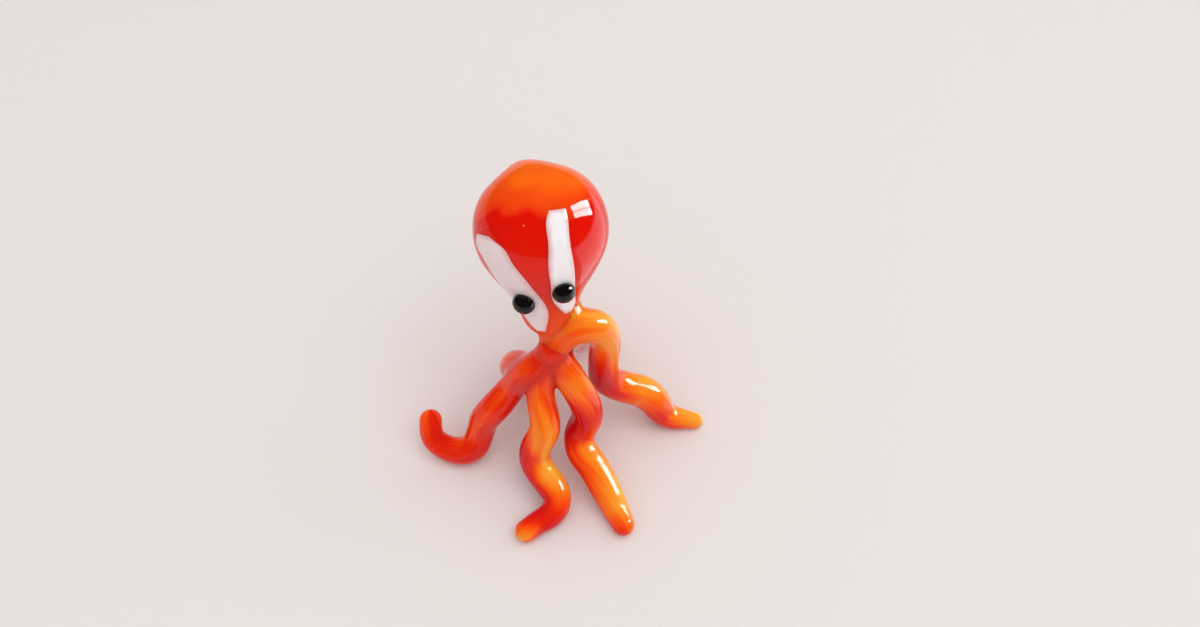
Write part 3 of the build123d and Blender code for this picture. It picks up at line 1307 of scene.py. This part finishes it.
# Arm stations, as the solids have them: how far out along the heading and aside of it as shares of the
# reach, the air below as a share of the crown's height, and the thickness as a share of the girth
ARM_LEFT_SHARES: Table = (
    (0.090, 0.050, 1.015, 1.00),
    (0.185, 0.060, 1.045, 1.03),
    (0.267, 0.065, 1.020, 1.02),
    (0.323, 0.070, 0.942, 0.98),
    (0.343, 0.075, 0.830, 0.95),
    (0.340, 0.080, 0.705, 0.95),
    (0.338, 0.085, 0.550, 0.96),
    (0.380, 0.096, 0.344, 1.02),
    (0.515, 0.086, 0.239, 1.02),
    (0.622, 0.074, 0.182, 1.05),
    (0.710, 0.030, 0.102, 1.01),
    (0.770, -0.004, 0.023, 0.88),
    (0.840, -0.030, 0.000, 0.76),
    (0.916, -0.046, 0.000, 0.66),
    (0.990, -0.060, 0.000, 0.56),
)
ARM_FRONT_LEFT_SHARES: Table = (
    (0.085, 0.035, 0.790, 0.88),
    (0.188, 0.067, 0.659, 0.94),
    (0.272, 0.099, 0.522, 0.96),
    (0.308, 0.089, 0.367, 0.98),
    (0.324, 0.018, 0.230, 0.96),
    (0.407, -0.016, 0.165, 0.98),
    (0.527, -0.007, 0.122, 0.98),
    (0.654, -0.002, 0.069, 0.97),
    (0.793, -0.008, 0.026, 0.90),
    (0.905, -0.018, 0.000, 0.80),
    (1.015, -0.032, 0.000, 0.70),
)
ARM_FRONT_SHARES: Table = (
    (0.080, -0.058, 0.780, 0.80),
    (0.156, -0.073, 0.654, 0.84),
    (0.250, -0.038, 0.531, 0.90),
    (0.339, -0.004, 0.421, 0.94),
    (0.414, -0.058, 0.275, 0.96),
    (0.479, -0.060, 0.166, 0.98),
    (0.550, 0.013, 0.101, 0.96),
    (0.628, 0.112, 0.071, 0.94),
    (0.695, 0.165, 0.046, 0.88),
    (0.767, 0.169, 0.023, 0.84),
    (0.832, 0.129, 0.000, 0.80),
    (0.900, 0.061, 0.000, 0.74),
    (0.992, -0.022, 0.000, 0.70),
)
ARM_RIGHT_SHARES: Table = (
    (0.103, 0.005, 0.830, 0.80),
    (0.213, -0.012, 0.726, 0.85),
    (0.312, -0.066, 0.553, 0.86),
    (0.470, -0.036, 0.398, 0.95),
    (0.578, -0.045, 0.259, 0.93),
    (0.638, -0.021, 0.129, 0.90),
    (0.721, 0.017, 0.036, 0.92),
    (0.846, -0.020, 0.000, 0.87),
    (0.938, -0.082, 0.019, 0.80),
    (1.000, -0.149, 0.069, 0.76),
    (0.990, -0.246, 0.177, 0.72),
)
ARM_REAR_RIGHT_SHARES: Table = (
    (0.070, 0.115, 0.812, 0.80),
    (0.192, 0.217, 0.706, 0.88),
    (0.400, 0.233, 0.594, 0.96),
    (0.600, 0.192, 0.442, 0.98),
    (0.708, 0.117, 0.283, 0.94),
    (0.767, 0.050, 0.131, 0.88),
    (0.825, -0.067, 0.033, 0.82),
    (0.892, -0.225, 0.000, 0.78),
    (0.942, -0.383, 0.000, 0.70),
)
ARM_REAR_SHARES: Table = (
    (0.105, -0.020, 0.875, 0.86),
    (0.245, -0.035, 0.750, 0.88),
    (0.355, -0.040, 0.595, 0.90),
    (0.450, -0.035, 0.440, 0.90),
    (0.550, -0.017, 0.290, 0.90),
    (0.665, -0.005, 0.160, 0.90),
    (0.775, 0.010, 0.065, 0.88),
    (0.870, 0.060, 0.000, 0.80),
    (0.953, 0.150, 0.000, 0.70),
)

# Tones down each arm: the share of its length, the amber share, how lopsided the amber lies in the rod, and
# the heading and rise in degrees of the side on which it lies. That lopsided amber is partly the rod's own
# two-tone streak and partly painted light, lighter on the upward side that faces the light
ARM_LEFT_TONES: Table = (
    (0.00, 0.60, 0.00, 0, 60),
    (0.12, 0.66, 0.10, 20, 60),
    (0.26, 0.70, 0.18, 10, 60),
    (0.36, 0.52, 0.24, 10, 20),
    (0.50, 0.30, 0.16, 60, 40),
    (0.60, 0.50, 0.20, 60, 60),
    (0.70, 0.72, 0.22, 60, 60),
    (0.84, 0.50, 0.30, 80, 60),
    (1.00, 0.80, 0.12, 0, 60),
)
ARM_FRONT_LEFT_TONES: Table = (
    (0.00, 0.60, 0.00, 0, 60),
    (0.14, 0.76, 0.20, 0, 60),
    (0.24, 0.58, 0.36, 50, 50),
    (0.36, 0.30, 0.36, 60, 50),
    (0.48, 0.16, 0.20, -60, 20),
    (0.58, 0.44, 0.26, -20, 40),
    (0.68, 0.56, 0.26, 20, 30),
    (0.88, 0.74, 0.24, 20, 30),
    (1.00, 0.48, 0.10, 20, 30),
)
ARM_FRONT_TONES: Table = (
    (0.00, 0.60, 0.00, 0, 60),
    (0.14, 0.50, 0.12, -130, 30),
    (0.24, 0.50, 0.16, -110, 30),
    (0.40, 0.56, 0.16, -100, 30),
    (0.52, 0.34, 0.54, 0, 40),
    (0.66, 0.46, 0.56, 10, 50),
    (0.78, 0.28, 0.34, 30, 50),
    (0.88, 0.12, 0.20, 40, 50),
    (1.00, 0.68, 0.14, -90, 50),
)
ARM_RIGHT_TONES: Table = (
    (0.00, 0.60, 0.00, 0, 60),
    (0.14, 0.48, 0.04, 0, 60),
    (0.30, 0.40, 0.08, 180, 30),
    (0.60, 0.41, 0.08, 180, 30),
    (0.80, 0.40, 0.08, 180, 30),
    (1.00, 0.48, 0.06, 180, 30),
)
ARM_REAR_RIGHT_TONES: Table = (
    (0.00, 0.60, 0.00, 0, 60),
    (0.16, 0.36, 0.06, 180, 40),
    (0.50, 0.40, 0.10, 180, 40),
    (1.00, 0.58, 0.10, 180, 40),
)
ARM_REAR_TONES: Table = (
    (0.00, 0.60, 0.00, 0, 60),
    (0.16, 0.56, 0.04, 60, 60),
    (0.40, 0.42, 0.20, 60, 40),
    (0.75, 0.58, 0.20, 120, 40),
    (1.00, 0.68, 0.06, 90, 40),
)


# Studio


@dataclass
class Studio:
    """A plain pale floor, soft light from above, and a paned window to the right.

    Its sizes are in metres, but for the camera's: the eye's place and the sensor in millimetres, and
    the lens in pixels of the picture's width.
    """

    eye: tuple[float, float, float] = (5.597, -82.824, 147.0)
    pitch: float = 54.5
    roll: float = 1.5
    sensor: float = 36.0
    lens_pixels: float = 1010.0
    picture_pixels: float = 1200.0
    nearest: float = 0.005
    floor_size: float = 6.0
    sky: Tones = ((0.0, "#e4e0de"), (0.8, "#f6f5f6"))
    sky_strength: float = 0.86
    mirrored_strength: float = 0.08
    aim_height: float = 0.02
    softbox_place: tuple[float, float, float] = (0.18, -0.12, 0.75)
    softbox_size: float = 0.6
    softbox_radiance: float = 1.6
    window_towards: tuple[float, float, float] = (0.867, 0.261, 0.424)
    window_distance: float = 0.6
    window_length: float = 0.40
    window_width: float = 0.20
    window_tilt: float = -55.0
    window_radiance: float = 32.0
    window_light: float = 3.0
    pane_share: tuple[float, float] = (0.93, 0.9)
    gleam_size: float = 0.44
    gleam_heading: float = 9.0
    gleam_gap: float = 0.02
    gleam_lift: float = 0.001
    gleam_radiance: float = 1.3

    def build(self) -> None:
        """Builds the floor, the light and the camera."""
        self.lay_floor()
        self.light_sky()
        self.hang_softbox()
        self.hang_window()
        self.lay_gleam()
        self.place_camera()

    def lay_floor(self) -> None:
        """Lays the floor, its top at zero height."""
        half = self.floor_size / 2
        mesh = bpy.data.meshes.new("floor")
        corners = [(-half, -half, 0), (half, -half, 0), (half, half, 0), (-half, half, 0)]
        mesh.from_pydata(corners, [], [(0, 1, 2, 3)])
        mesh.materials.append(FloorPaint().make())
        floor = bpy.data.objects.new("floor", mesh)
        bpy.context.scene.collection.objects.link(floor)

    def light_sky(self) -> None:
        """Sets a pale room all round, a little brighter overhead, and dim where the glass mirrors it."""
        world = bpy.data.worlds.new("room")
        bpy.context.scene.world = world
        world.use_nodes = True
        tree = world.node_tree
        tree.nodes.clear()
        way = add_node(tree, "TexCoord").outputs["Generated"]
        height = add_node(tree, "SeparateXYZ", {0: way}).outputs["Z"]
        colour = set_ramp(add_node(tree, "ValToRGB", {"Fac": height}), self.sky)
        ray = add_node(tree, "LightPath").outputs
        mirrored = add_node(
            tree,
            "MapRange",
            {
                "Value": ray["Is Glossy Ray"],
                "To Min": self.sky_strength,
                "To Max": self.mirrored_strength,
            },
        )
        seen = {"Value": ray["Is Camera Ray"], "To Min": mirrored.outputs[0], "To Max": 1.0}
        strength = add_node(tree, "MapRange", seen).outputs[0]
        light = add_node(tree, "Background", {"Color": colour, "Strength": strength})
        add_node(tree, "OutputWorld", {"Surface": light.outputs[0]})

    def hang_light(
        self,
        name: str,
        aim: Matrix,
        size: tuple[float, float],
        radiance: float,
        colour: str,
        mirrored: bool = False,
    ) -> None:
        """Hangs one flat light.

        Args:
            name: Its name.
            aim: Its place and turn, with its length along X, its width along Y and its light along -Z.
            size: Its length and width, in metres.
            radiance: How bright it looks.
            colour: Its sRGB hex colour.
            mirrored: Whether it is only mirrored in things, or only lights them.
        """
        lamp = bpy.data.lights.new(name, "AREA")
        lamp.shape = "RECTANGLE"
        lamp.size, lamp.size_y = size
        lamp.energy = radiance * math.pi * size[0] * size[1]
        lamp.color = linear(colour)[:3]
        light = bpy.data.objects.new(name, lamp)
        light.matrix_world = aim
        light.visible_diffuse = not mirrored
        light.visible_glossy = mirrored
        light.visible_camera = False
        bpy.context.scene.collection.objects.link(light)

    def facing(self, place: Vector) -> Matrix:
        """The aim of a light that hangs at a place and faces the octopus."""
        towards = Vector((0, 0, self.aim_height)) - place
        return Matrix.Translation(place) @ towards.to_track_quat("-Z", "Y").to_matrix().to_4x4()

    def hang_softbox(self) -> None:
        """Hangs the soft light above."""
        aim, size = self.facing(Vector(self.softbox_place)), (self.softbox_size, self.softbox_size)
        self.hang_light("softbox", aim, size, self.softbox_radiance, "#fffaf4")

    def hang_window(self) -> None:
        """Hangs the tilted window's panes, three along and two across, and its light."""
        aim = self.facing(Vector(self.window_towards).normalized() * self.window_distance)
        aim = aim @ Matrix.Rotation(math.radians(self.window_tilt), 4, "Z")
        length, width = self.window_length / 3, self.window_width / 2
        pane = (length * self.pane_share[0], width * self.pane_share[1])
        for column in (-1, 0, 1):
            for row in (-0.5, 0.5):
                place = aim @ Matrix.Translation((column * length, row * width, 0))
                name = f"pane_{column + 2}_{int(row + 1.5)}"
                self.hang_light(name, place, pane, self.window_radiance, "#ffffff", mirrored=True)
        whole = (self.window_length, self.window_width)
        self.hang_light("window_light", aim, whole, self.window_light, "#ffffff")

    def lay_gleam(self) -> None:
        """Lays the window's gleam on the floor beside the octopus, seen only where the glass mirrors it."""
        heading = math.radians(self.gleam_heading)
        reach = self.gleam_size / math.sqrt(2) + self.gleam_gap
        place = Vector((reach * math.cos(heading), reach * math.sin(heading), self.gleam_lift))
        corner_first = Matrix.Rotation(heading - math.radians(45), 4, "Z")
        upward = Matrix.Rotation(math.pi, 4, "X")
        aim = Matrix.Translation(place) @ corner_first @ upward
        size = (self.gleam_size, self.gleam_size)
        self.hang_light("gleam", aim, size, self.gleam_radiance, "#fff6f4", mirrored=True)

    def place_camera(self) -> None:
        """Places the camera at the photograph's viewing angle."""
        camera = bpy.data.cameras.new("camera")
        camera.lens = self.lens_pixels / self.picture_pixels * self.sensor
        camera.sensor_width = self.sensor
        camera.clip_start = self.nearest
        eye = bpy.data.objects.new("camera", camera)
        pitch = Matrix.Rotation(math.radians(90 - self.pitch), 4, "X")
        roll = Matrix.Rotation(math.radians(self.roll), 4, "Z")
        eye.matrix_world = Matrix.Translation(Vector(self.eye) * MM) @ pitch @ roll
        bpy.context.scene.collection.objects.link(eye)
        bpy.context.scene.camera = eye


def main() -> None:
    """Builds the octopus and its studio, and reports each piece."""
    logging.basicConfig(level=logging.INFO, format="%(name)s: %(message)s")
    bpy.context.scene.view_settings.view_transform = "Standard"
    streaked = StreakedGlass().make()
    gather = MantleGlass().make()
    opal = OpalGlass().make()
    black = BlackGlass().make()
    mantle = Mantle()
    crown = Crown()
    # Each arm's name, heading, reach, stations, tones and phase
    arms = [
        Arm("arm_left", 8.0, 23.0, ARM_LEFT_SHARES, ARM_LEFT_TONES, 0.3),
        Arm("arm_front_left", -55.0, 20.0, ARM_FRONT_LEFT_SHARES, ARM_FRONT_LEFT_TONES, 1.4),
        Arm("arm_front", -100.0, 19.0, ARM_FRONT_SHARES, ARM_FRONT_TONES, 2.6),
        Arm("arm_right", -160.0, 19.5, ARM_RIGHT_SHARES, ARM_RIGHT_TONES, 3.7),
        Arm("arm_rear_right", 130.0, 12.0, ARM_REAR_RIGHT_SHARES, ARM_REAR_RIGHT_TONES, 4.6),
        Arm("arm_rear", 75.0, 23.0, ARM_REAR_SHARES, ARM_REAR_TONES, 5.5),
    ]
    rods = [arm.distance for arm in arms]
    melt = MeltedBody([mantle.distance, crown.distance, *rods], rods)
    pieces = [mantle.build(melt, gather), crown.build(melt, streaked)]
    pieces += [arm.build(melt, streaked) for arm in arms]
    # Each stripe's name, azimuth, low end, length, width, edges and share of painted shade
    stripes = [
        EyeStripe("eye_white_left", 26.0, 6.6, 16.0, 3.3, LEFT_STRIPE_SHARES),
        EyeStripe("eye_white_right", -36.0, 4.1, 15.3, 4.6, RIGHT_STRIPE_SHARES, 0.45),
    ]
    pieces += [stripe.build(mantle, opal) for stripe in stripes]
    # Each bead's name, azimuth and place down the flank
    pupils = [Pupil("pupil_left", 27.0, 0.22), Pupil("pupil_right", -24.0, 0.36)]
    pieces += [pupil.build(mantle, black) for pupil in pupils]
    for piece in pieces:
        log.info(
            "%s: %d points, %d faces", piece.name, len(piece.data.vertices), len(piece.data.polygons)
        )
    Studio().build()


if __name__ == "__main__":
    main()
